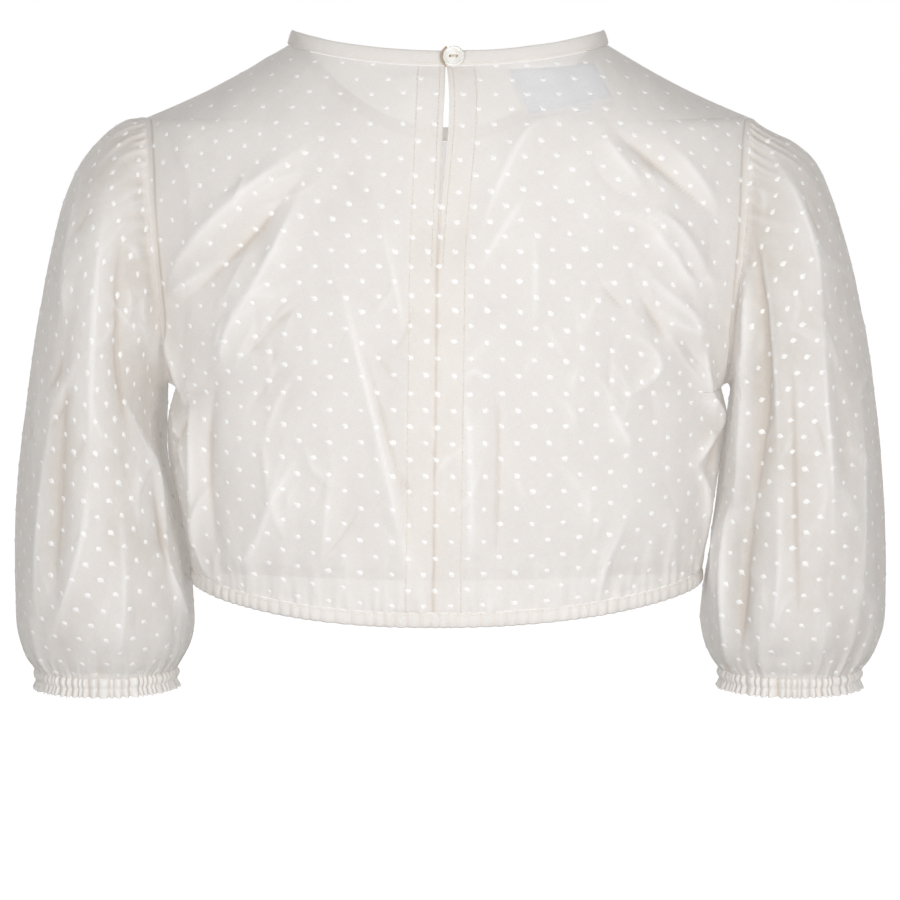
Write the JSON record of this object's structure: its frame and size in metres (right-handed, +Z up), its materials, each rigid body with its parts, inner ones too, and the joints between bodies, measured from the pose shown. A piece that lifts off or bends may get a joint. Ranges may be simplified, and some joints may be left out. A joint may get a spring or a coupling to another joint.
{
  "type": "dirndl blouse",
  "caption": "Cropped sheer dotted dirndl blouse seen filled out, with balloon sleeves, narrow neckband, back slit with one button, and elastic hem and cuffs.",
  "frame": {"origin": "middle of the neck opening, level with the points where the shoulder seams meet the neck", "axes": "+Z up, the wearer faces -Y, so the back with its slit and button faces +Y; +X is the wearer's left"},
  "size_m": [0.5256, 0.2153, 0.3948],
  "materials": {
    "voile": "sheer ivory voile with woven-in tufts",
    "folded_voile": "the same voile in two or more layers",
    "pearl": "polished mother of pearl",
    "loop_thread": "twisted beige thread",
    "label": "smooth woven tape, bare"
  },
  "bodies": {
    "root": {"armhole_binding_left": "folded_voile", "armhole_binding_right": "folded_voile", "back_left": "voile", "back_right": "voile", "button": "pearl", "cuff_left": "folded_voile", "cuff_right": "folded_voile", "facing_left": "folded_voile", "facing_right": "folded_voile", "front": "voile", "hem_casing": "folded_voile", "neck_label": "label", "neckband": "folded_voile", "size_label": "label", "sleeve_left": "voile", "sleeve_right": "voile", "thread_loop": "loop_thread"}
  },
  "joints": []
}
